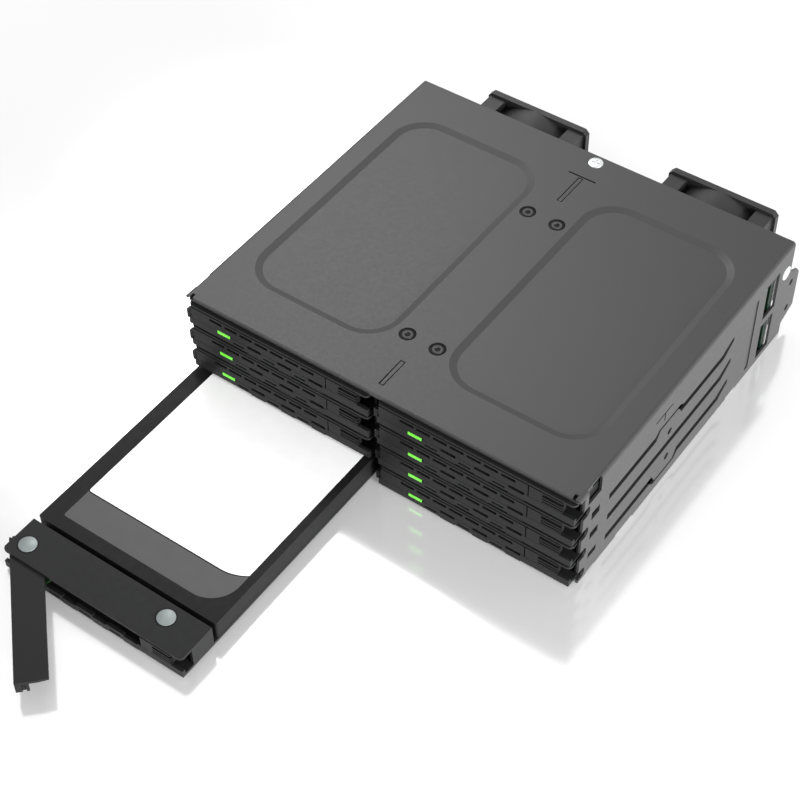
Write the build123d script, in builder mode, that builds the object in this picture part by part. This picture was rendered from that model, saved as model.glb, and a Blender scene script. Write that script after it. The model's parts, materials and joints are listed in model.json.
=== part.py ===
from build123d import *
import math
import os

# Hot swap cage for eight 2.5 inch drives in one 5.25 inch bay.
# X runs across, Y to the back, Z up. The origin is the centre of the cage's underside.
# Lengths along the cage are given as a depth behind the cover's front edge.

# Cage
cage_width = 146.0
cage_height = 41.3
cover_depth = 130.0
sheet = 0.8
front_y = -cover_depth / 2
half_width = cage_width / 2
wall_inside = half_width - sheet
ceiling = cage_height - sheet
floor_sheet = 0.7

# Tray stack
tray_width = 70.0
tray_height = 8.5
tray_pitch = 9.7
tray_bottom = 0.8
tray_length = 113.0
tray_gap_half = 1.7
tray_face_proud = 1.0
levels = 4
column_x = {"left": -tray_gap_half - tray_width, "right": tray_gap_half}
level_z = [tray_bottom + tray_pitch * level for level in range(levels)]
tray_front_y = front_y - tray_face_proud

# The one tray that stands open, and how far
open_tray = ("left", 0)
open_travel = 91.0
open_lever_angle = 45.0

# Tray front, in the tray's own frame: left edge, front face, underside
base_plate = 1.0
lip_height = 2.8
lip_depth = 1.2
nose_depth = 14.1
nose_plate = 0.8
nose_plate_front = 0.2
nose_plate_z = tray_height - nose_plate
seam = 0.15
lever_bottom = lip_height + seam
lever_top = nose_plate_z - 0.2
lever_skin = 1.6
lever_flange = 1.0
lever_flange_depth = 10.0
lever_left = 0.9
lever_tip = 54.0
pivot_x, pivot_y = 5.4, 5.7
latch_pin_x, latch_pin_y = 56.9, 9.2
pin_radius = 1.6
bore_clearance = 0.05

# Front pattern: one row of lever slots, one of long and short slots on the seam
upper_slot_count = 7
upper_slot_x, upper_slot_pitch, upper_slot_width = 8.45, 6.04, 5.1
upper_slot_z, upper_slot_height = 6.2, 1.1
lower_pitch = 12.05
long_slot_x, long_slot_width = 23.25, 5.5
short_slot_x, short_slot_width = 17.65, 4.4
lens_x, lens_width, lens_bottom, lens_top = 11.55, 4.9, 2.0, 3.15

# 2.5 inch drive
drive_width, drive_length, drive_height = 69.85, 100.2, 7.0
drive_front = 15.93
drive_side = (tray_width - drive_width) / 2
socket_x, socket_width, socket_height = 5.0, 42.2, 4.8
socket_z = base_plate + 1.1
socket_reach = 3.9
plug_split_low, plug_split_high = 15.9, 17.9
mating_gap = 0.3
drive_rear = drive_front + drive_length

# Back of the cage, as depths
board_depth, board_thickness = 117.9, 1.6
bracket_depth, bracket_sheet = 119.9, 0.8
board_back = board_depth + board_thickness
socket_face = drive_rear - tray_face_proud - socket_reach
fan_size, fan_length, fan_flange = 40.0, 20.0, 2.3
fan_depth = bracket_depth + bracket_sheet
fan_centre_z = 20.4
fan_x = {"left": -31.1, "right": 41.4}
fan_post_half = 16.0
fan_bore = 18.9
fan_blades = 7
port_length = 8.6
data_port_x = {"left": -62.5, "right": 12.5}
power_port_x = (-7.6, 0.2)
switch_x, switch_z = 66.8, 10.2

# Bay mounting holes, standard for a 5.25 inch device
mount_hole_radius = 1.25
mount_front, mount_spacing_y = 53.0, 79.25
mount_low_z, mount_spacing_z = 10.0, 11.84
mount_rear = mount_front + mount_spacing_y

# Cover screws and clinched joints, as depths and heights
clinch_x = 5.6
clinch_depths = (25.5, 93.2)
screw_depth = 126.4
screw_z = 30.5
both_sides = (1, -1)

os.makedirs("parts", exist_ok=True)


def at(depth):
    # Y of a point that lies depth behind the cover's front edge
    return front_y + depth


def block(low, high, mode=Mode.ADD):
    # A block between two corners, for the part that is being built
    with Locations(tuple((low[i] + high[i]) / 2 for i in range(3))):
        Box(*[high[i] - low[i] for i in range(3)], mode=mode)


def wall_block(side, depths, heights, outer=half_width + 2.0, inner=wall_inside - 1.0):
    # Cuts a block through the right (+1) or left (-1) side wall
    x_low, x_high = sorted((side * inner, side * outer))
    low = (x_low, at(depths[0]), heights[0])
    block(low, (x_high, at(depths[1]), heights[1]), Mode.SUBTRACT)


def save(part, name):
    # Labels a finished piece and writes it as one STEP file
    part.label = name
    export_step(part, f"parts/{name}.step")


# Cover: top sheet, both side walls and the rear ears, one folded piece
bend_outside = 1.3
wall_front = {1: 2.2, -1: 4.6}
window_front = {1: 7.0, -1: 8.6}
small_windows = ((25.5, 28.7), (16.4, 19.3), (7.2, 9.5), (0.0, 0.5))
slot_height = 2.6
slot_front, slot_back = 17.0, 92.0
jog_front, jog_back = 46.0, 58.0
slot_jogs = {1: -1, 2: 0, 3: 1}
ledge_runs = ((19.0, 43.0), (61.0, 84.0))
panel_x, panel_width, panel_length = 37.5, 55.0, 97.0
panel_middle, panel_corner, panel_sink, panel_ramp = 64.9, 13.0, 0.7, 2.4
panel_taper = math.degrees(math.atan2(panel_ramp, panel_sink))
claw_low, claw_high, claw_notch_back = 1.0, 5.3, 7.8
screw_radius, screw_head_radius = 1.5, 2.55
clinch_radius, clinch_sink = 2.8, 0.3
tab_runs = ((3.7, 15.5), (103.3, 117.0))
floor_tabs = ((24.0, 34.0), (93.0, 99.0))


def wall_outline(front):
    # Side wall seen from the right, with the ear that carries the rear mounting holes
    return [
        (at(front), 0),
        (at(126.0), 0),
        (at(130.5), 4.7),
        (at(137.5), 7.6),
        (at(137.5), 22.6),
        (at(135.9), 25.0),
        (at(131.2), 27.5),
        (at(cover_depth), 29.0),
        (at(cover_depth), ceiling - 1.0),
        (at(front), ceiling - 1.0),
    ]


def slot_outline(top, jog):
    # Long wall slot below a tray ledge. The jog lifts it (+1) or drops it (-1) round a mounting hole
    bottom = top - slot_height
    thin_bottom = top + 0.5 if jog > 0 else bottom - 1.9
    lower, upper = [(slot_front, bottom)], [(slot_front, top)]
    if jog:
        # The boundary on the side of the jog turns 1 mm before the other one
        for edge, z_edge, z_thin in ((lower, bottom, thin_bottom), (upper, top, thin_bottom + 1.0)):
            lead = 2.5 if (edge is upper) == (jog > 0) else 1.5
            edge += [(jog_front - lead, z_edge), (jog_front - lead + 2, z_thin)]
            edge += [(jog_back + lead - 2, z_thin), (jog_back + lead, z_edge)]
    lower += [(86.5, bottom), (slot_back, top + 1.0), (slot_back, top + 2.6)]
    upper += [(84.5, top), (90.6, top + 2.6)]
    return [(at(depth), z) for depth, z in lower + upper[::-1]]


def ledge_outline(bottom, root, tip):
    # Tongue bent out of a slot, slanting up to carry the tray above
    return [
        (root, bottom - 2.4),
        (tip, bottom - 0.9),
        (tip, bottom - 0.3),
        (root, bottom - 1.8),
    ]


def make_ledges(root, tip):
    # The tongues under the upper three trays, in two runs along the wall
    for bottom in level_z[1:]:
        for run_front, run_back in ledge_runs:
            with BuildSketch(Plane.XZ.offset(-at(run_front))) as tongue:
                with BuildLine():
                    Polyline(*ledge_outline(bottom, root, tip), close=True)
                make_face()
            extrude(tongue.sketch, amount=-(run_back - run_front))


with BuildPart() as cover_shell:
    with BuildSketch(Plane.XZ.offset(-front_y)) as fold:
        with Locations((0, cage_height / 2)):
            Rectangle(cage_width, cage_height)
        fillet(fold.vertices().group_by(Axis.Y)[-1], radius=bend_outside)
        with Locations((0, ceiling / 2)):
            Rectangle(2 * wall_inside, ceiling, mode=Mode.SUBTRACT)
    extrude(amount=-cover_depth)
    for side in both_sides:
        # Wall cut back from the top sheet's front edge, then the rear ear added
        wall_block(side, (-1.0, wall_front[side]), (-1.0, ceiling - 0.6))
        with BuildSketch(Plane.YZ.offset(side * half_width)):
            with BuildLine():
                Polyline(*wall_outline(wall_front[side]), close=True)
            make_face()
        extrude(amount=-side * sheet)
        make_ledges(side * (half_width - 0.05), side * (half_width - 2.0))
        # Long slots, jogged round the mounting holes
        with BuildSketch(Plane.YZ.offset(side * (half_width + 1))):
            for level, jog in slot_jogs.items():
                with BuildLine():
                    Polyline(*slot_outline(level_z[level] - 2.4, jog), close=True)
                make_face()
        extrude(amount=-side * (1 + sheet), mode=Mode.SUBTRACT)
        # Front notches: deep ones clear the lever claws on the left, short ones on the right
        for bottom in level_z:
            if side > 0:
                with BuildSketch(Plane.YZ.offset(half_width + 1)) as notch:
                    with Locations((at(2.6), bottom + 2.3)):
                        Rectangle(6.0, 4.0)
                    chamfer(notch.vertices().group_by(Axis.X)[-1], length=0.9)
                extrude(amount=-2 * sheet - 1, mode=Mode.SUBTRACT)
            else:
                heights = (bottom + claw_low, bottom + claw_high)
                wall_block(side, (2.0, claw_notch_back), heights)
        for heights in small_windows:
            wall_block(side, (window_front[side], 11.5), heights)
        wall_block(side, (4.4, 11.5), (35.0, cage_height + 1), inner=72.15)
        # Backplane windows, pressed bead, alignment marks and bottom slots for the floor's tabs
        for heights in ((20.0, 35.0), (2.0, 17.0)):
            wall_block(side, (112.7, 121.0), heights)
        wall_block(side, (105.0, 107.2), (3.0, 34.0), inner=half_width - 0.35)
        wall_block(side, (42.8, 52.8), (34.2, 34.8))
        wall_block(side, (48.0, 48.6), (31.0, 34.2))
        for run in floor_tabs:
            wall_block(side, (run[0] - 0.1, run[1] + 0.1), (-1.0, floor_sheet + 0.1))
        with BuildSketch(Plane.YZ.offset(side * (half_width + 1))):
            with Locations((at(mount_front), mount_low_z), (at(mount_rear), mount_low_z)):
                with Locations((0, 0), (0, mount_spacing_z)):
                    Circle(mount_hole_radius)
        extrude(amount=-side * (1 + 2 * sheet), mode=Mode.SUBTRACT)
        with Locations(Plane((side * half_width, at(screw_depth), screw_z), z_dir=(side, 0, 0))):
            CounterSinkHole(screw_radius + 0.05, screw_head_radius + 0.05, depth=2.0)
        # Relief cut between the front lip and the wall
        block((side * 70.6 - 0.6, at(-1), 39.9), (side * 70.6 + 0.6, at(1.6), 42), Mode.SUBTRACT)
    # Front lip turned down under the sheet
    block((-69.8, at(0), ceiling - 0.4), (69.8, at(sheet), ceiling + 0.1))
    # Two sunk panels keep the sheet's thickness: the same form is added below and cut above
    for height, mode in ((ceiling, Mode.ADD), (cage_height, Mode.SUBTRACT)):
        with BuildSketch(Plane.XY.offset(height)):
            with Locations((panel_x, at(panel_middle)), (-panel_x, at(panel_middle))):
                RectangleRounded(panel_width, panel_length, panel_corner)
        extrude(amount=-panel_sink, taper=panel_taper, mode=mode)
    # Slots for the partition's tabs, with the cross slit at the back
    for run in tab_runs:
        low, high = (-0.95, at(run[0]), ceiling - 1), (0.95, at(run[1]), cage_height + 1)
        block(low, high, Mode.SUBTRACT)
    block((-5.2, at(117.4), ceiling - 1), (5.2, at(118.0), cage_height + 1), Mode.SUBTRACT)
    # Clinched joints to the partition, each a round recess
    with Locations(*[(x, at(y), cage_height) for x in (-clinch_x, clinch_x) for y in clinch_depths]):
        Hole(clinch_radius, depth=clinch_sink)
    with Locations((0, at(screw_depth), cage_height)):
        CounterSinkHole(screw_radius + 0.05, screw_head_radius + 0.05, depth=2.0)
save(cover_shell.part, "cover_shell")

floor_front, floor_back = 2.6, 120.5
with BuildPart() as floor_plate:
    low = (-wall_inside + 0.05, at(floor_front), 0)
    block(low, (wall_inside - 0.05, at(floor_back), floor_sheet))
    for side in both_sides:
        for run in floor_tabs:
            x_low, x_high = sorted((side * (wall_inside - 1), side * (half_width - 0.1)))
            block((x_low, at(run[0]), 0), (x_high, at(run[1]), floor_sheet))
save(floor_plate.part, "floor_plate")

# Thin strip across the mouth, under the cover's lip
strip_low, strip_high, strip_front, strip_back = 38.9, 39.6, 0.3, 8.0
with BuildPart() as mouth_strip:
    block((-71.9, at(strip_front), strip_low), (71.9, at(strip_back), strip_high))
    block((-71.9, at(strip_back - 0.7), strip_low), (71.9, at(strip_back), ceiling))
save(mouth_strip.part, "mouth_strip")

# Partition between the two columns, with tabs through the cover and ledges on both faces
web_half, partition_back, flange_half = 0.6, 117.4, 9.3
with BuildPart() as centre_partition:
    block((-web_half, at(8.4), floor_sheet), (web_half, at(partition_back), ceiling))
    block((-web_half, at(4.6), floor_sheet), (web_half, at(8.5), strip_low - 0.3))
    block((-flange_half, at(17.5), ceiling - sheet), (flange_half, at(116.0), ceiling))
    for run in ((8.6, 15.2), (103.6, 116.7)):
        block((-web_half, at(run[0]), ceiling - 0.1), (web_half, at(run[1]), cage_height - 0.1))
    for side in both_sides:
        make_ledges(side * (web_half - 0.1), side * (tray_gap_half + 0.7))
    for bottom in level_z:
        low = (-2, at(4.0), bottom + claw_low)
        block(low, (2, at(claw_notch_back), bottom + claw_high), Mode.SUBTRACT)
save(centre_partition.part, "centre_partition")


# Tray: base, front lip, nose with its top plate, and the openings in them
nose_wall = 1.2
nose_vents = ((6.0, 31.0), (36.0, 64.0))


def lower_slots(first, width):
    # Left and right edges of the three repeats of a slot along the seam
    starts = [first + lower_pitch * k for k in range(3)]
    return [(start, start + width) for start in starts]


with BuildPart() as tray_frame:
    block((0, 0, 0), (tray_width, tray_length, base_plate))
    block((0, 0, 0), (tray_width, lip_depth, lip_height))
    # Nose: top plate with round front corners, stop wall for the drive, side walls
    with BuildSketch(Plane.XY.offset(nose_plate_z)) as plate:
        with Locations((tray_width / 2, (nose_plate_front + nose_depth) / 2)):
            Rectangle(tray_width, nose_depth - nose_plate_front)
        fillet(plate.vertices().group_by(Axis.Y)[0], radius=1.6)
    extrude(amount=nose_plate)
    block((0, nose_depth - nose_wall, 0), (tray_width, nose_depth, tray_height))
    block((tray_width - 1.0, 4.9, 0), (tray_width, nose_depth, tray_height))
    block((0, 11.3, 0), (1.0, nose_depth, tray_height))
    for x_low, x_high in nose_vents:
        low = (x_low, nose_depth - 2, base_plate + 0.8)
        block(low, (x_high, nose_depth + 1, nose_plate_z - 0.9), Mode.SUBTRACT)
    # Slots of the lower row
    for x_low, x_high in lower_slots(long_slot_x, long_slot_width):
        block((x_low, -1, 2.15), (x_high, 2, lip_height + 1), Mode.SUBTRACT)
    for x_low, x_high in lower_slots(short_slot_x, short_slot_width):
        block((x_low, -1, 0.75), (x_high, 1.0, 1.45), Mode.SUBTRACT)
    block((lens_x - 0.1, -1, lens_bottom), (lens_x + lens_width + 0.1, 2, 4), Mode.SUBTRACT)
    # Posts for the lever and the latch, between the base and the top plate
    with Locations((pivot_x, pivot_y, 0), (latch_pin_x, latch_pin_y, 0)):
        Cylinder(pin_radius, nose_plate_z + 0.2, align=(Align.CENTER, Align.CENTER, Align.MIN))
    # Open base under the drive
    with BuildSketch(Plane.XY):
        with Locations((tray_width / 2, 46.0), (tray_width / 2, 83.0)):
            Rectangle(46.0, 30.0)
    extrude(amount=base_plate, mode=Mode.SUBTRACT)

# Lever: front skin, top flange round the pivot and the claw that grips the cage
with BuildPart() as lever:
    with BuildSketch(Plane.XY.offset(lever_top - lever_flange)):
        with BuildLine():
            Polyline(
                (lever_left, 0),
                (lever_tip, 0),
                (lever_tip, 6.5),
                (lever_tip - 0.4, lever_flange_depth),
                (3.0, lever_flange_depth),
                (0.6, 7.6),
                (0.6, 4.2),
                (1.75, 1.4),
                (lever_left, 0.5),
                close=True,
            )
        make_face()
    extrude(amount=lever_flange)
    with BuildSketch(Plane.XY.offset(lever_bottom)):
        with BuildLine():
            Polyline(
                (lever_left, 0),
                (lever_tip, 0),
                (lever_tip, 4.0),
                (lever_tip - 1.0, 4.0),
                (lever_tip - 1.0, lever_skin),
                (1.95, lever_skin),
                (lever_left, 0.5),
                close=True,
            )
        make_face()
    extrude(amount=lever_top - lever_bottom - 0.2)
    # Root block round the post, and the claw
    block((2.2, 1.0, lever_bottom), (pivot_x + 2.6, pivot_y + 2.6, lever_top - 0.2))
    with BuildSketch(Plane.XY.offset(claw_low + 0.4)):
        with BuildLine():
            Polyline((-0.15, 0.6), (-1.4, 0.6), (-1.4, 2.0), (-0.15, 3.0), close=True)
        make_face()
    extrude(amount=claw_high - claw_low - 0.7)
    with BuildSketch(Plane.XY.offset(lever_bottom)):
        with BuildLine():
            Polyline((2.0, 0.7), (-0.3, 0.7), (-0.3, 2.9), (2.0, 4.4), close=True)
        make_face()
    extrude(amount=claw_high - 0.3 - lever_bottom)
    # Upper row of slots, notches over the lower row and over the lens, end groove
    for k in range(upper_slot_count):
        x = upper_slot_x + upper_slot_pitch * k
        z = upper_slot_z - upper_slot_height / 2
        block((x, -1, z), (x + upper_slot_width, lever_skin + 0.2, z + upper_slot_height), Mode.SUBTRACT)
    for x_low, x_high in lower_slots(long_slot_x, long_slot_width):
        block((x_low, -1, 0), (x_high, lever_skin + 0.2, 3.35), Mode.SUBTRACT)
    block((lens_x - 0.3, -1, 0), (lens_x + lens_width + 0.9, lever_skin + 0.2, 3.35), Mode.SUBTRACT)
    block((lever_tip - 0.6, 2.0, 0), (lever_tip + 1, 3.2, lever_top - lever_flange), Mode.SUBTRACT)
    with Locations((pivot_x, pivot_y, lever_top)):
        Hole(pin_radius + bore_clearance, depth=20)

# Latch: grip face with ridges, arm, pin boss and its spring finger
latch_left, latch_right = 54.4, 65.8
grip_left = 58.9
latch_top = lever_top
with BuildPart() as latch:
    with BuildSketch(Plane.XY.offset(lever_bottom)):
        with BuildLine():
            Polyline(
                (latch_left, 0),
                (latch_right, 0),
                (latch_right, 2.2),
                (60.4, 2.6),
                (59.1, latch_pin_y),
                (latch_left + 0.3, latch_pin_y),
                (latch_left, 3.0),
                close=True,
            )
        make_face()
        with BuildLine():
            Polyline(
                (latch_left + 0.3, 9.2),
                (59.1, 9.2),
                (67.5, 10.4),
                (67.5, 11.2),
                (56.0, 11.2),
                (latch_left + 0.3, 10.4),
                close=True,
            )
        make_face()
    extrude(amount=latch_top - lever_bottom)
    # Sunk finger area, with three ridges left standing in it
    for z_low, z_high in ((3.5, 4.1), (4.6, 5.2), (5.7, 7.0)):
        block((grip_left, -1, z_low), (latch_right + 1, 0.9, z_high), Mode.SUBTRACT)
    with Locations((latch_pin_x, latch_pin_y, latch_top)):
        Hole(pin_radius + bore_clearance, depth=20)

with BuildPart() as led_lens:
    block((lens_x, -0.05, lens_bottom), (lens_x + lens_width, 7.0, lens_top))

# Every tray's pieces are placed by its column and level, each as its own node
tray_pieces = {
    "tray": tray_frame.part,
    "led_lens": led_lens.part,
    "lever": lever.part,
    "latch": latch.part,
}
for column in column_x:
    for level in range(levels):
        is_open = (column, level) == open_tray
        travel = open_travel if is_open else 0
        place = Pos(column_x[column], tray_front_y - travel, level_z[level])
        swing = Pos(pivot_x, pivot_y, 0) * Rot(0, 0, -open_lever_angle) * Pos(-pivot_x, -pivot_y, 0)
        for piece, part in tray_pieces.items():
            turn = swing if is_open and piece == "lever" else Pos(0, 0, 0)
            save(place * turn * part, f"{piece}_{column}_{level + 1}")


# Drive in the open tray: case with its socket recess, and the plug tongues inside
drive_low = (drive_side, drive_front, base_plate)
open_place = Pos(column_x["left"], tray_front_y - open_travel, level_z[0])
with BuildPart() as drive_case:
    block(drive_low, (tray_width - drive_side, drive_rear, base_plate + drive_height))
    fillet(drive_case.edges().filter_by(Axis.Z), radius=0.8)
    low = (socket_x - mating_gap, drive_rear - 5.2, socket_z - mating_gap)
    high_x = socket_x + socket_width + mating_gap
    block(low, (high_x, drive_rear + 1, socket_z + socket_height + mating_gap), Mode.SUBTRACT)
with BuildPart() as drive_plug:
    tongue_low, tongue_high = socket_z + 2.1, socket_z + 3.3
    block((5.6, drive_rear - 4.9, tongue_low), (15.6, drive_rear - 0.4, tongue_high))
    block((18.2, drive_rear - 4.9, tongue_low), (46.6, drive_rear - 0.4, tongue_high))
    block((5.0, drive_rear - 5.2, tongue_low - 0.6), (47.2, drive_rear - 4.9, tongue_high + 0.6))
save(open_place * drive_case.part, "drive_case")
save(open_place * drive_plug.part, "drive_plug")


# Backplane board with air cut-outs between and beside the drive sockets
with BuildPart() as backplane_board:
    block((-71.9, at(board_depth), 0.9), (71.9, at(board_back), 39.4))
    for x_low in column_x.values():
        for bottom in level_z[:-1]:
            low = (x_low + 6.0, at(board_depth - 1), bottom + socket_z + socket_height + 0.8)
            high = (x_low + 46.0, at(board_back + 1), bottom + tray_pitch + socket_z - 0.8)
            block(low, high, Mode.SUBTRACT)
        low = (x_low + 50.5, at(board_depth - 1), 5.0)
        block(low, (x_low + 66.5, at(board_back + 1), 35.0), Mode.SUBTRACT)
save(backplane_board.part, "backplane_board")

# Drive sockets on the board's front: two slots with the key wall between them
with BuildPart() as drive_sockets:
    for x_low in column_x.values():
        for bottom in level_z:
            z = bottom + socket_z
            x = x_low
            block((x + socket_x, at(socket_face), z), (x + 47.2, at(board_depth), z + socket_height))
            for slot_low, slot_high in ((5.3, plug_split_low), (plug_split_high, 46.9)):
                low = (x + slot_low, at(socket_face) - 1, z + 1.8)
                block(low, (x + slot_high, at(socket_face + 4.5), z + 3.6), Mode.SUBTRACT)
save(drive_sockets.part, "drive_sockets")


def make_port(x, z, width, height, upright):
    # Plug-in header on the board's back: a shroud round a contact tongue
    half = (height / 2, width / 2) if upright else (width / 2, height / 2)
    low = (x - half[0], at(board_back), z - half[1])
    block(low, (x + half[0], at(board_back + port_length), z + half[1]))
    inset = 1.2
    low = (x - half[0] + inset, at(board_back + 1.5), z - half[1] + inset)
    high = (x + half[0] - inset, at(board_back + port_length + 1), z + half[1] - inset)
    block(low, high, Mode.SUBTRACT)
    reach = 2.6
    tongue = (0.6, half[1] - reach) if upright else (half[0] - reach, 0.6)
    low = (x - tongue[0], at(board_back + 1), z - tongue[1])
    block(low, (x + tongue[0], at(board_back + port_length - 1.5), z + tongue[1]))


with BuildPart() as data_ports:
    for x in data_port_x.values():
        for bottom in level_z:
            make_port(x, bottom + 4.8, 15.6, 6.2, False)
save(data_ports.part, "data_ports")

with BuildPart() as power_ports:
    for x in power_port_x:
        make_port(x, 19.0, 25.0, 6.4, True)
save(power_ports.part, "power_ports")

# Rear bracket: plate with fan and port openings, side and top flanges for the cover's screws
with BuildPart() as rear_bracket:
    block((-72.0, at(bracket_depth), 0.8), (72.0, at(fan_depth), 39.5))
    block((-9.5, at(bracket_depth), 39.0), (16.0, at(fan_depth), 40.4))
    block((-9.5, at(bracket_depth), 39.6), (16.0, at(129.5), 40.4))
    for side in both_sides:
        x_low, x_high = sorted((side * 71.3, side * 72.1))
        block((x_low, at(bracket_depth), 22.0), (x_high, at(129.5), 38.0))
        with Locations(Plane((side * 73, at(screw_depth), screw_z), z_dir=(side, 0, 0))):
            Hole(screw_radius + 0.3, depth=3)
    with Locations((0, at(screw_depth), ceiling)):
        Hole(screw_radius + 0.3, depth=3)
    with BuildSketch(Plane.XZ.offset(-at(bracket_depth - 1))):
        for x in fan_x.values():
            with Locations((x, fan_centre_z)):
                Circle(fan_bore)
        for x in data_port_x.values():
            with Locations((x, 19.9)):
                Rectangle(16.4, 37.0)
        for x in power_port_x:
            with Locations((x, 19.0)):
                Rectangle(7.0, 25.6)
        with Locations((switch_x, switch_z)):
            Rectangle(9.2, 5.0)
    extrude(amount=-(2 + bracket_sheet), mode=Mode.SUBTRACT)
save(rear_bracket.part, "rear_bracket")

# Fan frame: two square flanges, round duct, corner posts, struts and the bearing tube
duct_radius, corner_post, motor_radius, bearing_radius = 20.0, 6.0, 11.5, 2.3
shaft_radius = 1.0
cup_start, cup_length = 1.4, 15.0
tube_start = cup_start + cup_length + 0.4
strut_depth = fan_depth + fan_length - 1.8


def fan_ring(x, start, length, mode=Mode.ADD, radius=duct_radius):
    # A round length of duct about a fan's axis
    with BuildSketch(Plane.XZ.offset(-at(start))) as ring:
        with Locations((x, fan_centre_z)):
            Circle(radius)
    extrude(ring.sketch, amount=-length, mode=mode)


def make_fan_frame(x):
    with BuildPart() as frame:
        for start in (fan_depth, fan_depth + fan_length - fan_flange):
            with BuildSketch(Plane.XZ.offset(-at(start))) as flange:
                with Locations((x, fan_centre_z)):
                    Rectangle(fan_size, fan_size)
                chamfer(flange.vertices(), length=1.4)
            extrude(amount=-fan_flange)
        fan_ring(x, fan_depth, fan_length)
        with BuildSketch(Plane.XZ.offset(-at(fan_depth))):
            with Locations((x, fan_centre_z)):
                with GridLocations(2 * fan_post_half, 2 * fan_post_half, 2, 2):
                    Rectangle(corner_post, corner_post)
        extrude(amount=-fan_length)
        fan_ring(x, fan_depth - 1, fan_length + 2, Mode.SUBTRACT, fan_bore)
        # Motor plate on four struts at the back, with the tube for the shaft
        fan_ring(x, strut_depth, 1.8, Mode.ADD, motor_radius)
        with BuildSketch(Plane.XZ.offset(-at(strut_depth))):
            with Locations((x, fan_centre_z)):
                with PolarLocations((fan_bore + motor_radius) / 2, 4, start_angle=20):
                    Rectangle(fan_bore - motor_radius + 1.2, 2.0)
        extrude(amount=-1.8)
        fan_ring(x, fan_depth + tube_start, 2.0, Mode.ADD, bearing_radius)
        fan_ring(x, fan_depth + tube_start - 0.2, 2.8, Mode.SUBTRACT, shaft_radius + bore_clearance)
    return frame.part


# Rotor: cup, shaft and curved blades set at a pitch
cup_radius, blade_root, blade_tip = 11.2, 10.8, 17.6
blade_half_chord, blade_thickness, blade_curve = 6.0, 0.9, 1.3
blade_pitch = 43.0


def make_blade(x):
    # The blade's curved section lies square to the radius, turned to its pitch
    pitch = math.radians(blade_pitch)
    section_plane = Plane(
        origin=(x + blade_root, at(fan_depth + 9.0), fan_centre_z),
        x_dir=(0, math.sin(pitch), math.cos(pitch)),
        z_dir=(1, 0, 0),
    )
    half, thick = blade_half_chord, blade_thickness
    with BuildPart() as blade:
        with BuildSketch(section_plane):
            with BuildLine():
                ThreePointArc((-half, 0), (0, blade_curve), (half, 0))
                Line((half, 0), (half, thick))
                ThreePointArc((half, thick), (0, blade_curve + thick), (-half, thick))
                Line((-half, thick), (-half, 0))
            make_face()
        extrude(amount=blade_tip - blade_root)
    return blade.part


def make_fan_rotor(x):
    axis = Axis((x, 0, fan_centre_z), (0, 1, 0))
    blade = make_blade(x)
    with BuildPart() as rotor:
        fan_ring(x, fan_depth + cup_start, cup_length, Mode.ADD, cup_radius)
        fan_ring(x, fan_depth + cup_start + cup_length - 0.1, 2.8, Mode.ADD, shaft_radius)
        for k in range(fan_blades):
            add(blade.rotate(axis, 360 / fan_blades * k))
    return rotor.part


save(Compound(children=[make_fan_frame(x) for x in fan_x.values()]), "fan_frames")
for side_name, x in fan_x.items():
    save(make_fan_rotor(x), f"fan_rotor_{side_name}")


# Fasteners: one revolved shape each, repeated where it is used
def revolved(outline):
    # Solid of revolution about Z from radius and height pairs
    with BuildPart() as turned:
        with BuildSketch(Plane.XZ):
            with BuildLine():
                Polyline(*outline, close=True)
            make_face()
        revolve(axis=Axis.Z)
    return turned.part


head_cone = screw_head_radius - screw_radius
screw_length = 2.4
screw_outline = [
    (0, 0),
    (screw_head_radius, 0),
    (screw_radius, -head_cone),
    (screw_radius, -screw_length),
    (0, -screw_length),
]
screw = revolved(screw_outline)
top_screw = Pos(0, at(screw_depth), cage_height) * screw
side_screws = [
    Pos(side * half_width, at(screw_depth), screw_z) * Rot(0, side * 90, 0) * screw
    for side in both_sides
]
save(Compound(children=[top_screw] + side_screws), "cover_screws")

# Fan speed switch on the board's back: body and sliding knob
switch_travel = 2.0
with BuildPart() as switch_body:
    low = (switch_x - 4.3, at(board_back), switch_z - 2.2)
    block(low, (switch_x + 4.3, at(board_back + 4.4), switch_z + 2.2))
    low = (switch_x - 2.0, at(board_back + 2.0), switch_z - 0.95)
    block(low, (switch_x + 2.0, at(board_back + 5), switch_z + 0.95), Mode.SUBTRACT)
save(switch_body.part, "switch_body")
with BuildPart() as switch_knob:
    low = (switch_x - 1.8, at(board_back + 2.2), switch_z - 0.75)
    block(low, (switch_x - 0.3, at(board_back + 6.6), switch_z + 0.75))
save(switch_knob.part, "switch_knob")
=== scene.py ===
import json
import math

import bpy
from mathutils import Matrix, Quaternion, Vector


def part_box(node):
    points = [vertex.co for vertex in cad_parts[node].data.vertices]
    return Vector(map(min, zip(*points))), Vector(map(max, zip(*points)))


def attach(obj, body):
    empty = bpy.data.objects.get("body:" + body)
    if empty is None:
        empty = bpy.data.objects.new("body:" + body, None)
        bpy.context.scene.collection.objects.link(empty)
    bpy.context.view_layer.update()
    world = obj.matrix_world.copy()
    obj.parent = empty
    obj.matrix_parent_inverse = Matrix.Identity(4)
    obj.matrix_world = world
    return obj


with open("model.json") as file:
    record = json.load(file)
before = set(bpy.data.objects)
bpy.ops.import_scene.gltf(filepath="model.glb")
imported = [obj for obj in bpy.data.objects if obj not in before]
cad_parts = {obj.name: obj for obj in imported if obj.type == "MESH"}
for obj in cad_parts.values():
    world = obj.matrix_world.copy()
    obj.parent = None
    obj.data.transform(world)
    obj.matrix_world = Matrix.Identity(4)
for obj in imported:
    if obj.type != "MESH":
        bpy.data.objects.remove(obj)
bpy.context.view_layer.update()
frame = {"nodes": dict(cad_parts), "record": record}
nodes = frame["nodes"]
print("frame loaded:", len(nodes), "nodes")

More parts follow.
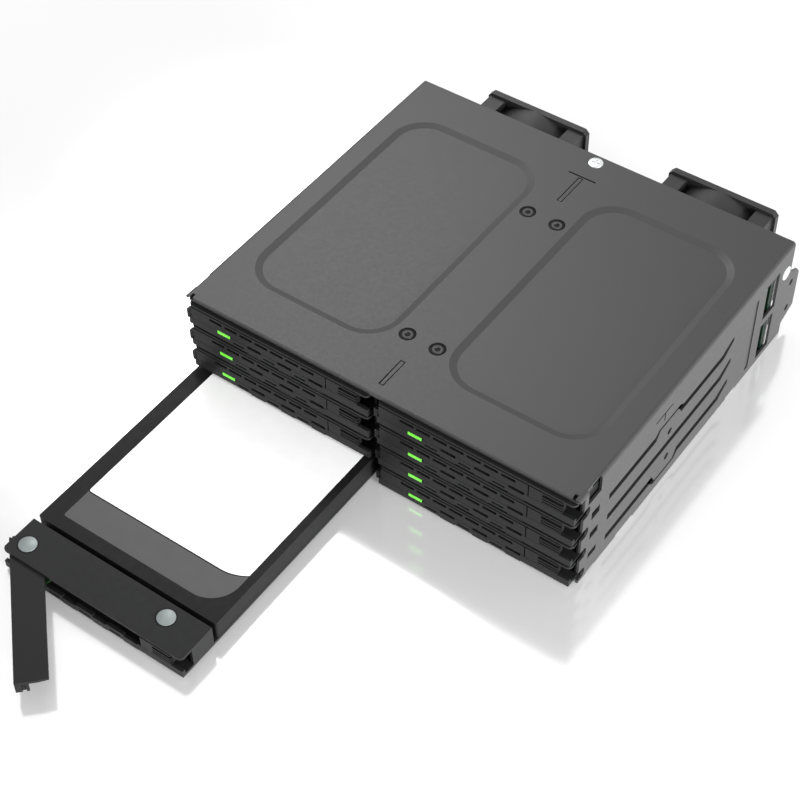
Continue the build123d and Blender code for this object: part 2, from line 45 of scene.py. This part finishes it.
mm = 0.001
trays = [(column, level) for column in ("left", "right") for level in (1, 2, 3, 4)]
up = Vector((0, 0, 1))
rimSlack = 1e-7  # how far below a rim its own edges are still picked
rimSegments = 2
smoothAngle = 35

# Every finish is a noise-driven paint on Object coordinates, in metres
finishes = {
    "black_sheet": {
        "name": "coverPaint", "colour": (0.0245, 0.0245, 0.0249), "shift": 0.04, "mottle": 900,
        "grain": 3800, "depth": 0.000005, "rough": 0.42, "roughShift": 0.02, "metal": 0.0,
        "shine": 0.42,
    },
    "bare_steel": {
        "name": "platedSheet", "colour": (0.26, 0.26, 0.265), "shift": 0.14, "mottle": 160,
        "grain": 900, "depth": 0.000008, "rough": 0.36, "roughShift": 0.10, "metal": 0.85,
        "stretch": (1, 14, 1),
    },
    "circuit_board": {
        "name": "boardGreen", "colour": (0.003, 0.011, 0.006), "shift": 0.25, "mottle": 300,
        "grain": 1500, "depth": 0.00001, "rough": 0.36, "roughShift": 0.1, "metal": 0.0,
        "shine": 0.35,
    },
    "socket_plastic": {
        "name": "socketPlastic", "colour": (0.012, 0.012, 0.013), "shift": 0.2, "mottle": 400,
        "grain": 4000, "depth": 0.00001, "rough": 0.45, "roughShift": 0.08, "metal": 0.0,
        "shine": 0.3,
    },
    "zinc": {
        "name": "zincPlate", "colour": (0.62, 0.64, 0.64), "shift": 0.07, "mottle": 900,
        "grain": 3600, "depth": 0.000006, "rough": 0.30, "roughShift": 0.08, "metal": 0.7,
    },
    "fan_plastic": {
        "name": "fanPlastic", "colour": (0.013, 0.013, 0.0135), "shift": 0.12, "mottle": 350,
        "grain": 3600, "depth": 0.000012, "rough": 0.44, "roughShift": 0.06, "metal": 0.0,
        "shine": 0.35,
    },
    "rotor_plastic": {
        "name": "rotorPlastic", "colour": (0.016, 0.016, 0.017), "shift": 0.12, "mottle": 350,
        "grain": 3600, "depth": 0.000008, "rough": 0.34, "roughShift": 0.06, "metal": 0.0,
        "shine": 0.35,
    },
    "drive_metal": {
        "name": "driveShell", "colour": (0.0065, 0.0065, 0.0067), "shift": 0.08, "mottle": 500,
        "grain": 3800, "depth": 0.000008, "rough": 0.46, "roughShift": 0.05, "metal": 0.0,
        "shine": 0.13,
    },
    "tray_plastic": {
        "name": "trayPlastic", "colour": (0.0105, 0.0108, 0.0107), "shift": 0.08, "mottle": 500,
        "grain": 3800, "depth": 0.00001, "rough": 0.48, "roughShift": 0.05, "metal": 0.0,
        "shine": 0.16,
    },
    "lever_plastic": {
        "name": "leverPlastic", "colour": (0.0095, 0.0095, 0.0098), "shift": 0.08, "mottle": 500,
        "grain": 3800, "depth": 0.00001, "rough": 0.44, "roughShift": 0.05, "metal": 0.0,
        "shine": 0.15,
    },
    "green_lens": {
        "name": "greenLens", "colour": (0.11, 0.50, 0.035), "shift": 0.16, "mottle": 700,
        "grain": 2500, "depth": 0.00001, "rough": 0.28, "roughShift": 0.05, "metal": 0.0,
        "glow": 0.45,
    },
}
# Finishes of the pieces that only the scene has
trimFinishes = {
    "labelWhite": {
        "name": "labelPaper", "colour": (0.86, 0.86, 0.86), "shift": 0.02, "mottle": 260,
        "grain": 5000, "depth": 0.000003, "rough": 0.42, "roughShift": 0.04, "metal": 0.0,
        "shine": 0.4,
    },
    "labelGrey": {
        "name": "labelInk", "colour": (0.062, 0.062, 0.063), "shift": 0.03, "mottle": 260,
        "grain": 5000, "depth": 0.000003, "rough": 0.42, "roughShift": 0.04, "metal": 0.0,
        "shine": 0.25,
    },
    # Black for the label's printed line, and painted shade: the dark discs round the pin heads and in the
    # clinched recesses, and the screws' cross recesses
    "printAndShadeBlack": {
        "name": "inkAndPaintedShade", "colour": (0.006, 0.006, 0.006), "shift": 0.2, "mottle": 600,
        "grain": 3600, "depth": 0.000006, "rough": 0.5, "roughShift": 0.08, "metal": 0.0,
        "shine": 0.12,
    },
    "pinSteel": {
        "name": "pinSteel", "colour": (0.19, 0.213, 0.213), "shift": 0.06, "mottle": 500,
        "grain": 3200, "depth": 0.000006, "rough": 0.40, "roughShift": 0.06, "metal": 0.35,
    },
    "unlitLens": {
        "name": "unlitLens", "colour": (0.012, 0.030, 0.012), "shift": 0.16, "mottle": 700,
        "grain": 2500, "depth": 0.00001, "rough": 0.28, "roughShift": 0.05, "metal": 0.0,
        "shine": 0.3,
    },
    "gold": {
        "name": "goldContact", "colour": (0.62, 0.43, 0.13), "shift": 0.1, "mottle": 900,
        "grain": 4000, "depth": 0.000004, "rough": 0.3, "roughShift": 0.08, "metal": 0.9,
    },
}


# How every finish mixes its two noises
mixing = {"mottleDetail": 5, "grainDetail": 2, "mottleShare": 0.6, "low": 0.35, "high": 0.65}


def mixFinish(look):
    # Builds one finish: slow mottling, streaks where the sheet was rolled, and a fine grain
    mat = bpy.data.materials.new(look["name"])
    mat.use_nodes = True
    tree = mat.node_tree
    shader = tree.nodes["Principled BSDF"]
    place = tree.nodes.new("ShaderNodeTexCoord")
    stretch = tree.nodes.new("ShaderNodeMapping")
    stretch.inputs["Scale"].default_value = look.get("stretch", (1, 1, 1))
    tree.links.new(place.outputs["Object"], stretch.inputs["Vector"])

    mottle = tree.nodes.new("ShaderNodeTexNoise")
    mottle.inputs["Scale"].default_value = look["mottle"]
    mottle.inputs["Detail"].default_value = mixing["mottleDetail"]
    grain = tree.nodes.new("ShaderNodeTexNoise")
    grain.inputs["Scale"].default_value = look["grain"]
    grain.inputs["Detail"].default_value = mixing["grainDetail"]
    for noise in (mottle, grain):
        tree.links.new(stretch.outputs["Vector"], noise.inputs["Vector"])

    # The mottling and the grain both shade the colour a little
    both = tree.nodes.new("ShaderNodeMath")
    both.operation = "MULTIPLY_ADD"
    both.inputs[1].default_value = mixing["mottleShare"]
    tree.links.new(mottle.outputs["Fac"], both.inputs[0])
    share = tree.nodes.new("ShaderNodeMath")
    share.operation = "MULTIPLY"
    share.inputs[1].default_value = 1 - mixing["mottleShare"]
    tree.links.new(grain.outputs["Fac"], share.inputs[0])
    tree.links.new(share.outputs[0], both.inputs[2])
    ramp = tree.nodes.new("ShaderNodeValToRGB")
    low = [c * (1 - look["shift"]) for c in look["colour"]]
    high = [c * (1 + look["shift"]) for c in look["colour"]]
    ramp.color_ramp.elements[0].position = mixing["low"]
    ramp.color_ramp.elements[0].color = (*low, 1)
    ramp.color_ramp.elements[1].position = mixing["high"]
    ramp.color_ramp.elements[1].color = (*high, 1)
    tree.links.new(both.outputs[0], ramp.inputs["Fac"])
    tree.links.new(ramp.outputs["Color"], shader.inputs["Base Color"])

    rough = tree.nodes.new("ShaderNodeMapRange")
    rough.inputs["From Min"].default_value = mixing["low"]
    rough.inputs["From Max"].default_value = mixing["high"]
    rough.inputs["To Min"].default_value = look["rough"] - look["roughShift"]
    rough.inputs["To Max"].default_value = look["rough"] + look["roughShift"]
    tree.links.new(mottle.outputs["Fac"], rough.inputs["Value"])
    tree.links.new(rough.outputs["Result"], shader.inputs["Roughness"])

    bump = tree.nodes.new("ShaderNodeBump")
    bump.inputs["Distance"].default_value = look["depth"]
    tree.links.new(grain.outputs["Fac"], bump.inputs["Height"])
    tree.links.new(bump.outputs["Normal"], shader.inputs["Normal"])

    shader.inputs["Metallic"].default_value = look["metal"]
    shader.inputs["Specular IOR Level"].default_value = look.get("shine", 0.5)
    if "glow" in look:
        shader.inputs["Emission Color"].default_value = (*look["colour"], 1)
        shader.inputs["Emission Strength"].default_value = look["glow"]
    return mat


paints = {slot: mixFinish(look) for slot, look in {**finishes, **trimFinishes}.items()}
# The partition's tabs show the cover's paint, and the open tray has no light
nodePaint = {"centre_partition": "black_sheet", "led_lens_left_1": "unlitLens"}
for entry in frame["record"]["subparts"]:
    mesh = nodes[entry["node"]].data
    mesh.materials.clear()
    mesh.materials.append(paints[nodePaint.get(entry["node"], entry["material_slot"])])


def only(obj):
    # One object selected and active, and nothing else
    bpy.ops.object.select_all(action="DESELECT")
    obj.select_set(True)
    bpy.context.view_layer.objects.active = obj


def pick(obj, kind, test):
    # Goes into edit mode with the vertices, edges or faces that pass the test selected
    only(obj)
    mesh = obj.data
    for group in (mesh.vertices, mesh.edges, mesh.polygons):
        for item in group:
            item.select = False
    if kind == "FACE":
        for face in mesh.polygons:
            face.select = test(face.center, face.normal)
    elif kind == "EDGE":
        for edge in mesh.edges:
            ends = [mesh.vertices[i].co for i in edge.vertices]
            edge.select = all(test(end) for end in ends)
    else:
        for vertex in mesh.vertices:
            vertex.select = test(vertex.co)
    bpy.ops.object.mode_set(mode="EDIT")
    bpy.ops.mesh.select_mode(type=kind)


def leave():
    bpy.ops.object.mode_set(mode="OBJECT")
    return bpy.context.object


def settle(obj):
    # The place goes into the mesh, and the object to the origin
    only(obj)
    bpy.ops.object.transform_apply(location=True, rotation=True, scale=True)


def makeBlock(middle, size, turn=0):
    # A block at a place, with both in millimetres
    bpy.ops.object.select_all(action="DESELECT")
    bpy.ops.mesh.primitive_cube_add(size=1, location=Vector(middle) * mm, rotation=(0, 0, turn))
    block = bpy.context.object
    block.scale = Vector(size) * mm
    settle(block)
    return block


def stamp(master, place, towards=up):
    # A copy with its own mesh, set down at a place and turned from pointing up
    copy = master.copy()
    copy.data = master.data.copy()
    bpy.context.collection.objects.link(copy)
    copy.location = Vector(place) * mm
    copy.rotation_mode = "QUATERNION"
    copy.rotation_quaternion = up.rotation_difference(Vector(towards))
    return copy


def joined(name, group):
    # Several objects as one, named, with its place in its mesh
    bpy.ops.object.select_all(action="DESELECT")
    for obj in group:
        obj.select_set(True)
    bpy.context.view_layer.objects.active = group[0]
    if len(group) > 1:
        bpy.ops.object.join()
    obj = bpy.context.object
    obj.name = obj.data.name = name
    settle(obj)
    return obj


def drop(*masters):
    for master in masters:
        bpy.data.objects.remove(master)


def hand(obj, body):
    # Rides on its body
    bpy.ops.object.select_all(action="DESELECT")
    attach(obj, body)


# Label on the drive: a grey sheet, a thin dark line and a white sheet, all blank
label = {
    "left": 6.1, "right": 2.85, "front": 4.6, "lineFront": 15.8, "whiteFront": 16.2, "back": 9.0,
    "greyCorner": 10.0, "whiteCorner": 15.0, "overhang": 6.1, "small": 0.8, "segments": 24,
    "smallSegments": 6, "sheet": 0.05, "near": 1e-6,
}


def makeSheet(name, low, high, bottom, paint, corner, cut=None):
    # Flat sheet with its front right corner rounded, trimmed on the right where a cut is given
    bpy.ops.object.select_all(action="DESELECT")
    middle = ((low[0] + high[0]) / 2 * mm, (low[1] + high[1]) / 2 * mm, bottom * mm)
    bpy.ops.mesh.primitive_plane_add(size=1, location=middle)
    sheet = bpy.context.object
    sheet.scale = ((high[0] - low[0]) * mm, (high[1] - low[1]) * mm, 1)
    settle(sheet)
    right, front, left = high[0] * mm, low[1] * mm, low[0] * mm
    near = label["near"]
    pick(sheet, "VERT", lambda c: abs(c.x - right) < near and abs(c.y - front) < near)
    bpy.ops.mesh.bevel(offset=corner * mm, segments=label["segments"], affect="VERTICES")
    leave()
    pick(sheet, "VERT", lambda c: abs(c.x - left) < near and abs(c.y - front) < near)
    bpy.ops.mesh.bevel(offset=label["small"] * mm, segments=label["smallSegments"], affect="VERTICES")
    if cut is not None:
        bpy.ops.mesh.select_all(action="SELECT")
        bpy.ops.mesh.bisect(plane_co=(cut * mm, 0, 0), plane_no=(1, 0, 0), clear_outer=True)
    bpy.ops.mesh.select_all(action="SELECT")
    bpy.ops.mesh.extrude_region_move(TRANSFORM_OT_translate={"value": (0, 0, label["sheet"] * mm)})
    bpy.ops.mesh.select_all(action="SELECT")
    bpy.ops.mesh.normals_make_consistent(inside=False)
    leave()
    sheet.name = sheet.data.name = name
    sheet.data.materials.append(paints[paint])
    hand(sheet, "tray_left_1")


def makeLabel():
    low, high = (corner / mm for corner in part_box("drive_case"))
    left, right = low.x + label["left"], high.x - label["right"]
    back, over = high.y - label["back"], right + label["overhang"]
    deep = label["sheet"]
    makeSheet("labelBand", (left, low.y + label["front"]), (right, back), high.z, "labelGrey",
              label["greyCorner"])
    makeSheet("labelLine", (left, low.y + label["lineFront"]), (over, back), high.z + deep,
              "printAndShadeBlack", label["whiteCorner"], right)
    makeSheet("labelField", (left, low.y + label["whiteFront"]), (over, back), high.z + 2 * deep,
              "labelWhite", label["whiteCorner"], right)


makeLabel()
print("label made")

# Silver heads of the lever's and the latch's pins, each on a black disc of painted shade that stands for
# the shadowed ring gap round the head
pinHead = {
    "radius": 2.9, "height": 0.28, "edge": 0.1, "shadeDisc": 3.35, "shadeDiscHeight": 0.05, "shadeDiscEdge": 0.02,
    "sides": 48, "lever": (5.4, 5.7), "latch": (56.9, 9.2),
}


def makeDisc(radius, height, edge, paint, sides):
    # A flat disc that stands on the origin with its upper rim broken
    bpy.ops.object.select_all(action="DESELECT")
    bpy.ops.mesh.primitive_cylinder_add(
        vertices=sides, radius=radius * mm, depth=height * mm, location=(0, 0, height / 2 * mm)
    )
    disc = bpy.context.object
    settle(disc)
    top = height * mm - rimSlack
    pick(disc, "EDGE", lambda c: c.z > top)
    bpy.ops.mesh.bevel(offset=edge * mm, segments=rimSegments, affect="EDGES")
    leave()
    bpy.ops.object.shade_smooth_by_angle(angle=math.radians(smoothAngle))
    disc.data.materials.append(paints[paint])
    return disc


def makePinHeads():
    sides = pinHead["sides"]
    head = makeDisc(pinHead["radius"], pinHead["height"], pinHead["edge"], "pinSteel", sides)
    # Black disc under each head: painted shade for the ring gap round it
    shadeDisc = makeDisc(pinHead["shadeDisc"], pinHead["shadeDiscHeight"], pinHead["shadeDiscEdge"], "printAndShadeBlack", sides)
    for column, level in trays:
        low, high = (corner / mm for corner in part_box(f"tray_{column}_{level}"))
        group = []
        for spot in ("lever", "latch"):
            x, y = low.x + pinHead[spot][0], low.y + pinHead[spot][1]
            group += [stamp(master, (x, y, high.z)) for master in (head, shadeDisc)]
        heads = joined(f"pin_heads_{column}_{level}", group)
        hand(heads, f"tray_{column}_{level}")
    drop(head, shadeDisc)


makePinHeads()
print("pin heads made")

# Low pads under each tray's lip, below the long slots of the seam
lipPad = {
    "count": 3, "first": 23.25, "pitch": 12.05, "width": 5.5, "deep": 2.4, "drop": 0.55,
    "sink": 0.1, "chamfer": 0.2,
}


def makeLipPads():
    for column, level in trays:
        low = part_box(f"tray_{column}_{level}")[0] / mm
        group = []
        for k in range(lipPad["count"]):
            x = low.x + lipPad["first"] + lipPad["pitch"] * k + lipPad["width"] / 2
            tall = lipPad["drop"] + lipPad["sink"]
            middle = (x, low.y + lipPad["deep"] / 2, low.z - lipPad["drop"] + tall / 2)
            pad = makeBlock(middle, (lipPad["width"], lipPad["deep"], tall))
            under = (low.z - lipPad["drop"]) * mm + rimSlack
            pick(pad, "EDGE", lambda c: c.z < under)
            bpy.ops.mesh.bevel(offset=lipPad["chamfer"] * mm, segments=rimSegments, affect="EDGES")
            leave()
            pad.data.materials.append(paints["tray_plastic"])
            group.append(pad)
        hand(joined(f"lip_pads_{column}_{level}", group), f"tray_{column}_{level}")


makeLipPads()
print("lip pads made")

# Clinched joints: a black disc of painted shade on the recess floor, which also shows dark through the
# centre hole, with a raised ring round that hole
clinch = {
    "x": 5.6, "depths": (25.5, 93.2), "sink": 0.3, "shadeDisc": 2.75, "shadeDiscHeight": 0.03,
    "shadeDiscEdge": 0.01, "ring": 1.35, "ringHalf": 0.5, "ringLow": 0.5, "sides": 40, "tubeSides": 12,
}


def makeClinches():
    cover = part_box("cover_shell")
    front, top = cover[0].y / mm, cover[1].z / mm
    # The black disc is painted shade for the deep recess and its centre hole
    shadeDisc = makeDisc(clinch["shadeDisc"], clinch["shadeDiscHeight"], clinch["shadeDiscEdge"], "printAndShadeBlack", clinch["sides"])
    bpy.ops.object.select_all(action="DESELECT")
    bpy.ops.mesh.primitive_torus_add(
        major_segments=clinch["sides"], minor_segments=clinch["tubeSides"],
        major_radius=clinch["ring"] * mm, minor_radius=clinch["ringHalf"] * mm,
    )
    ring = bpy.context.object
    ring.scale = (1, 1, clinch["ringLow"])
    settle(ring)
    bpy.ops.object.shade_smooth()
    ring.data.materials.append(paints["black_sheet"])
    group = []
    floorZ = top - clinch["sink"]
    for x in (-clinch["x"], clinch["x"]):
        for depth in clinch["depths"]:
            group.append(stamp(shadeDisc, (x, front + depth, floorZ)))
            group.append(stamp(ring, (x, front + depth, floorZ + clinch["shadeDiscHeight"])))
    drop(shadeDisc, ring)
    hand(joined("clinch_rings", group), "cage")


makeClinches()
print("clinched joints made")

# Front end of the partition's tab, which fills the cover's front slot
frontTab = {"half": 0.6, "front": 4.0, "back": 8.7, "foot": 0.75, "under": 0.1, "chamfer": 0.1}


def makeFrontTab():
    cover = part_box("cover_shell")
    front, top = cover[0].y / mm, cover[1].z / mm
    low, high = top - frontTab["foot"], top - frontTab["under"]
    middle = (0, front + (frontTab["front"] + frontTab["back"]) / 2, (low + high) / 2)
    length = frontTab["back"] - frontTab["front"]
    tab = makeBlock(middle, (2 * frontTab["half"], length, high - low))
    rim = high * mm - rimSlack
    pick(tab, "EDGE", lambda c: c.z > rim)
    bpy.ops.mesh.bevel(offset=frontTab["chamfer"] * mm, segments=rimSegments, affect="EDGES")
    leave()
    tab.data.materials.append(paints["black_sheet"])
    hand(joined("front_tab", [tab]), "cage")


makeFrontTab()
print("front tab made")

# Screws: a low round head with a cross recess
screws = {
    "cover": {"radius": 2.5, "height": 0.32, "edge": 0.14, "arm": 1.45, "armWidth": 0.5, "deep": 0.25},
    "fan": {"radius": 2.4, "height": 1.1, "edge": 0.5, "arm": 1.3, "armWidth": 0.5, "deep": 0.6},
}
# Where they sit: how deep, how high in the walls, and the fans' corners
screwPlaces = {"sides": 40, "sunk": 0.05, "wallRise": 2.55, "fanHalf": 20, "holeHalf": 16, "holeRise": 4}


def makeScrewHead(look, paint):
    head = makeDisc(look["radius"], look["height"], look["edge"], paint, screwPlaces["sides"])
    for turn in (0, math.pi / 2):
        size = (2 * look["arm"], look["armWidth"], 2 * look["deep"])
        arm = makeBlock((0, 0, look["height"]), size, turn)
        # The cutter carries the black paint, as painted shade for the cross recess
        arm.data.materials.append(paints["printAndShadeBlack"])
        only(head)
        cut = head.modifiers.new("recess", "BOOLEAN")
        cut.object = arm
        cut.operation = "DIFFERENCE"
        bpy.ops.object.modifier_apply(modifier="recess")
        drop(arm)
    return head


def makeScrews():
    sunk, wallRise = screwPlaces["sunk"], screwPlaces["wallRise"]
    fanHalf, holeHalf, holeRise = (screwPlaces[key] for key in ("fanHalf", "holeHalf", "holeRise"))
    cover = makeScrewHead(screws["cover"], "zinc")
    low, high = (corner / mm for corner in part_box("cover_screws"))
    sideY, sideZ = (low.y + high.y) / 2, low.z + wallRise
    group = [stamp(cover, (0, sideY, high.z - sunk))]
    for side in (-1, 1):
        group.append(stamp(cover, (side * (high.x - sunk), sideY, sideZ), (side, 0, 0)))
    hand(joined("screw_heads", group), "cage")

    # Fan screws, in the corners of the rear flanges
    fan = makeScrewHead(screws["fan"], "zinc")
    low, high = (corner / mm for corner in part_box("fan_frames"))
    group = []
    for x in (low.x + fanHalf, high.x - fanHalf):
        for dx in (-holeHalf, holeHalf):
            for z in (low.z + holeRise, high.z - holeRise):
                group.append(stamp(fan, (x + dx, high.y - sunk, z), (0, 1, 0)))
    hand(joined("fan_screw_heads", group), "cage")
    drop(cover, fan)


makeScrews()
print("screws made")

# Gold contacts on the tongues of the ports at the back
contact = {
    "pitch": 1.27, "width": 0.8, "thick": 0.1, "length": 4.6, "tongueHalf": 0.6, "inset": 1.5,
    "sunk": 0.02, "chamfer": 0.04, "dataSide": 7.8, "dataRise": 3.1, "powerSide": 3.2,
    "levels": 4, "dataHalf": 3, "powerHalf": 7,
}


def makeStrip(middle, size):
    strip = makeBlock(middle, size)
    tip = (middle[1] + size[1] / 2) * mm - rimSlack
    pick(strip, "EDGE", lambda c: c.y > tip)
    bpy.ops.mesh.bevel(offset=contact["chamfer"] * mm, segments=1, affect="EDGES")
    leave()
    strip.data.materials.append(paints["gold"])
    return strip


def makeContacts():
    pitch, width, thick, length = (contact[key] for key in ("pitch", "width", "thick", "length"))
    low, high = (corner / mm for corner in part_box("data_ports"))
    y = high.y - contact["inset"] - length / 2
    rise = contact["tongueHalf"] + thick / 2 - contact["sunk"]
    levelPitch = (high.z - low.z - 2 * contact["dataRise"]) / (contact["levels"] - 1)
    half = contact["dataHalf"]
    group = []
    for x in (low.x + contact["dataSide"], high.x - contact["dataSide"]):
        for level in range(contact["levels"]):
            z = low.z + contact["dataRise"] + levelPitch * level
            for k in range(-half, half + 1):
                group.append(makeStrip((x + pitch * k, y, z + rise), (width, length, thick)))
    hand(joined("data_contacts", group), "cage")

    low, high = (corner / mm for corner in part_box("power_ports"))
    half = contact["powerHalf"]
    group = []
    for x in (low.x + contact["powerSide"], high.x - contact["powerSide"]):
        for k in range(-half, half + 1):
            z = (low.z + high.z) / 2 + pitch * k
            group.append(makeStrip((x + rise, y, z), (thick, length, width)))
    hand(joined("power_contacts", group), "cage")


makeContacts()
print("contacts made")

# Floor, light and camera
stage = {
    "floorSize": 6.0, "floorSink": 0.0002, "floorRough": 0.9, "floorColour": (0.93, 0.93, 0.93),
    "floorGlow": 0.24, "mirror": 0.48, "mirrorRough": 0.13, "ambient": 0.72,
}


def eitherOf(tree, first, second):
    # 1 where either of two ray kinds applies
    either = tree.nodes.new("ShaderNodeMath")
    either.operation = "ADD"
    either.use_clamp = True
    tree.links.new(first, either.inputs[0])
    tree.links.new(second, either.inputs[1])
    return either.outputs[0]


def makeFloor():
    bpy.ops.object.select_all(action="DESELECT")
    bpy.ops.mesh.primitive_plane_add(size=stage["floorSize"], location=(0, 0, -stage["floorSink"]))
    floor = bpy.context.object
    settle(floor)
    floor.name = "floor"
    mat = bpy.data.materials.new("whiteTable")
    mat.use_nodes = True
    tree = mat.node_tree
    shader = tree.nodes["Principled BSDF"]
    shader.inputs["Base Color"].default_value = (*stage["floorColour"], 1)
    shader.inputs["Roughness"].default_value = stage["floorRough"]
    shader.inputs["Specular IOR Level"].default_value = 0.0
    # The floor shows nearly white to the camera and in reflections, and keeps its shadows
    glow = tree.nodes.new("ShaderNodeEmission")
    glow.inputs["Strength"].default_value = 1.0
    path = tree.nodes.new("ShaderNodeLightPath")
    direct = eitherOf(tree, path.outputs["Is Camera Ray"], path.outputs["Is Glossy Ray"])
    seen = eitherOf(tree, direct, path.outputs["Is Transmission Ray"])
    share = tree.nodes.new("ShaderNodeMath")
    share.operation = "MULTIPLY"
    share.inputs[1].default_value = stage["floorGlow"]
    tree.links.new(seen, share.inputs[0])
    mix = tree.nodes.new("ShaderNodeMixShader")
    tree.links.new(share.outputs[0], mix.inputs["Fac"])
    tree.links.new(shader.outputs["BSDF"], mix.inputs[1])
    tree.links.new(glow.outputs["Emission"], mix.inputs[2])
    # A polished table: a faint mirror image on top of the white
    mirror = tree.nodes.new("ShaderNodeBsdfGlossy")
    mirror.inputs["Roughness"].default_value = stage["mirrorRough"]
    polish = tree.nodes.new("ShaderNodeMixShader")
    polish.inputs["Fac"].default_value = stage["mirror"]
    tree.links.new(mix.outputs["Shader"], polish.inputs[1])
    tree.links.new(mirror.outputs["BSDF"], polish.inputs[2])
    tree.links.new(polish.outputs["Shader"], tree.nodes["Material Output"].inputs["Surface"])
    floor.data.materials.append(mat)


def makeWorld():
    world = bpy.data.worlds.new("studio")
    bpy.context.scene.world = world
    world.use_nodes = True
    tree = world.node_tree
    sky = tree.nodes["Background"]
    sky.inputs["Color"].default_value = (1, 1, 1, 1)
    path = tree.nodes.new("ShaderNodeLightPath")
    direct = eitherOf(tree, path.outputs["Is Camera Ray"], path.outputs["Is Glossy Ray"])
    strength = tree.nodes.new("ShaderNodeMapRange")
    strength.inputs["To Min"].default_value = stage["ambient"]
    strength.inputs["To Max"].default_value = 1.0
    tree.links.new(direct, strength.inputs["Value"])
    tree.links.new(strength.outputs["Result"], sky.inputs["Strength"])


lampTarget = (0, -0.03, 0.02)
lamps = {
    "keyLamp": {"place": (-0.55, 0.55, 0.85), "size": 0.5, "power": 3.4},
    "sideLamp": {"place": (1.0, -0.25, 0.22), "size": 0.5, "power": 32.0},
    "frontLamp": {"place": (-0.5, -0.9, 0.35), "size": 0.7, "power": 3.0},
}


def makeLamps():
    target = Vector(lampTarget)
    for name, lamp in lamps.items():
        bpy.ops.object.light_add(type="AREA", location=lamp["place"])
        light = bpy.context.object
        light.name = name
        light.data.shape = "DISK"
        light.data.size = lamp["size"]
        light.data.energy = lamp["power"]
        light.rotation_euler = (target - light.location).to_track_quat("-Z", "Y").to_euler()


camera = {
    "place": (0.22646, -0.35868, 0.44961), "azimuth": 36.41, "elevation": 48.02,
    "roll": -1.08, "lens": 83.22, "sensor": 36,
}


def makeCamera():
    a, e = math.radians(camera["azimuth"]), math.radians(camera["elevation"])
    back = Vector((math.sin(a) * math.cos(e), -math.cos(a) * math.cos(e), math.sin(e)))
    bpy.ops.object.camera_add(location=camera["place"])
    cam = bpy.context.object
    cam.name = "photoCamera"
    cam.data.sensor_width = camera["sensor"]
    cam.data.lens = camera["lens"]
    level = (-back).to_track_quat("-Z", "Y")
    cam.rotation_mode = "QUATERNION"
    cam.rotation_quaternion = level @ Quaternion((0, 0, 1), math.radians(camera["roll"]))
    bpy.context.scene.camera = cam


makeFloor()
makeWorld()
makeLamps()
makeCamera()
bpy.context.scene.view_settings.view_transform = "Standard"
print("stage ready")
